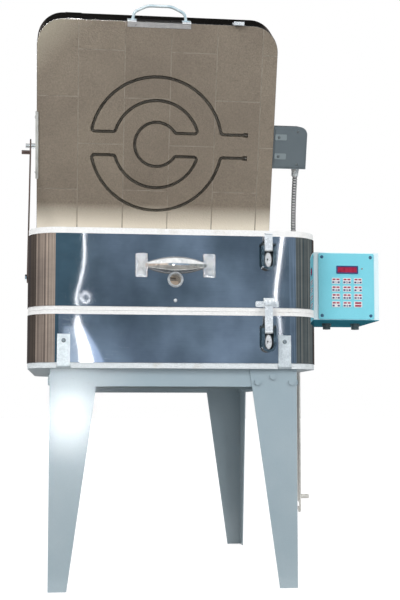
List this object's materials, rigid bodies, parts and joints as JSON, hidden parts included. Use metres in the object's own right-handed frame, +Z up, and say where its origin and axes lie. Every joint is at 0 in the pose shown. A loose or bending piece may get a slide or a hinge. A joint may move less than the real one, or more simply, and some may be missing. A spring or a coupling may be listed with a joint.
{
  "type": "clamshell glass kiln",
  "caption": "Floor-standing clamshell kiln: firebrick chamber in stainless jackets, hinged lid and ring, prop bars, draw latches, keypad controller and angle-leg stand.",
  "frame": {"origin": "middle of the chamber floor's top face, where the ware stands; the feet are 505.9 mm below it", "axes": "+Z up, front (handle, peephole, latches) towards -Y, controller towards +X"},
  "size_m": [0.783, 0.8044, 1.3519],
  "materials": {
    "firebrick": "rough insulating brick",
    "stainless": "bright stainless sheet with fine scratches",
    "stand_paint": "satin light blue-grey paint",
    "zinc": "zinc-plated steel",
    "chrome": "polished",
    "box_paint": "satin light grey paint",
    "panel_teal": "smooth printed teal panel",
    "display_navy": "matt",
    "display_red": "dark red window",
    "key_white": "membrane key caps, light",
    "lamp_red": "gloss",
    "element_wire": "heat-darkened resistance wire",
    "dark_box": "satin dark blue-grey paint",
    "bushing": "plain ceramic",
    "conduit_steel": "ribbed metal conduit",
    "board_green": "circuit board",
    "core_steel": "laminated core",
    "relay_black": "matt",
    "brass": "turned"
  },
  "bodies": {
    "base": {"stand_legs": "stand_paint", "stand_rails": "stand_paint", "stand_bolts": "zinc", "floor_slab": "firebrick", "base_wall": "firebrick", "base_jacket": "stainless", "base_clips": "zinc", "clip_screws": "zinc", "base_hinge_leaves": "zinc", "ring_hinge_pins": "chrome", "lower_latch_plate": "chrome", "ring_prop_pivot": "chrome"},
    "ring": {"ring_wall": "firebrick", "ring_jacket": "stainless", "ring_elements": "element_wire", "thermocouple": "bushing", "peephole": "chrome", "jacket_screws": "zinc", "front_handle": "chrome", "ring_lower_leaves": "zinc", "ring_upper_leaves": "zinc", "lid_hinge_pins": "chrome", "upper_latch_plate": "chrome", "ring_catch": "chrome", "lid_prop_pivot": "chrome", "ring_prop_stud": "chrome", "control_box": "box_paint", "control_panel": "panel_teal", "display_bezel": "display_navy", "display_window": "display_red", "keypad_keys": "key_white", "panel_screws": "zinc", "status_lamp": "lamp_red", "circuit_board": "board_green", "transformer": "core_steel", "relays": "relay_black", "box_glands": "relay_black", "conduit_gland": "zinc", "conduit": "conduit_steel"},
    "lid": {"lid_bricks": "firebrick", "lid_jacket": "stainless", "lid_element": "element_wire", "handle_bracket": "stainless", "lid_handle": "chrome", "lid_catch": "chrome", "prop_bracket": "zinc", "lid_prop_stud": "chrome", "lid_hinge_leaves": "zinc", "terminal_box": "dark_box", "terminal_cover": "dark_box", "cover_screws": "zinc", "terminal_bushings": "bushing", "element_clamps": "brass", "lid_gland": "zinc"},
    "lid_prop_bar": {"lid_prop": "zinc"},
    "ring_prop_bar": {"ring_prop": "zinc"},
    "upper_lever": {"upper_latch_lever": "chrome"},
    "upper_strap": {"upper_latch_strap": "chrome"},
    "lower_lever": {"lower_latch_lever": "chrome"},
    "lower_strap": {"lower_latch_strap": "chrome"}
  },
  "joints": [
    {"name": "ring_hinge", "type": "hinge", "parent": "base", "child": "ring", "pos_m": [0, 0.313, 0.0525], "axis": [-1, 0, 0], "range_deg": [0, 47.04]},
    {"name": "lid_hinge", "type": "hinge", "parent": "ring", "child": "lid", "pos_m": [0, 0.313, 0.2207], "axis": [-1, 0, 0], "range_deg": [-72.8, 0], "deforming": ["conduit"]},
    {"name": "lid_prop_swing", "type": "hinge", "parent": "ring", "child": "lid_prop_bar", "pos_m": [-0.3125, 0.145, 0.16862], "axis": [-1, 0, 0], "range_deg": [-195.52, 0]},
    {"name": "ring_prop_swing", "type": "hinge", "parent": "base", "child": "ring_prop_bar", "pos_m": [0.3125, 0, -0.0059], "axis": [1, 0, 0], "range_deg": [0, 122.89]},
    {"name": "upper_latch", "type": "hinge", "parent": "ring", "child": "upper_lever", "pos_m": [0.1895, -0.3055, 0.1891], "axis": [-1, 0, 0], "range_deg": [0, 150]},
    {"name": "upper_strap_pivot", "type": "hinge", "parent": "upper_lever", "child": "upper_strap", "pos_m": [0.1895, -0.3065, 0.1791], "axis": [-1, 0, 0], "range_deg": [-150, 0]},
    {"name": "lower_latch", "type": "hinge", "parent": "base", "child": "lower_lever", "pos_m": [0.1895, -0.3055, 0.0206], "axis": [-1, 0, 0], "range_deg": [0, 150]},
    {"name": "lower_strap_pivot", "type": "hinge", "parent": "lower_lever", "child": "lower_strap", "pos_m": [0.1895, -0.3065, 0.0106], "axis": [-1, 0, 0], "range_deg": [-150, 0]}
  ],
  "couplings": [
    {"joint": "lid_prop_swing", "follows": "lid_hinge", "ratio": 2.6851},
    {"joint": "ring_prop_swing", "follows": "ring_hinge", "ratio": 2.6113},
    {"joint": "upper_strap_pivot", "follows": "upper_latch", "ratio": -1},
    {"joint": "lower_strap_pivot", "follows": "lower_latch", "ratio": -1}
  ]
}
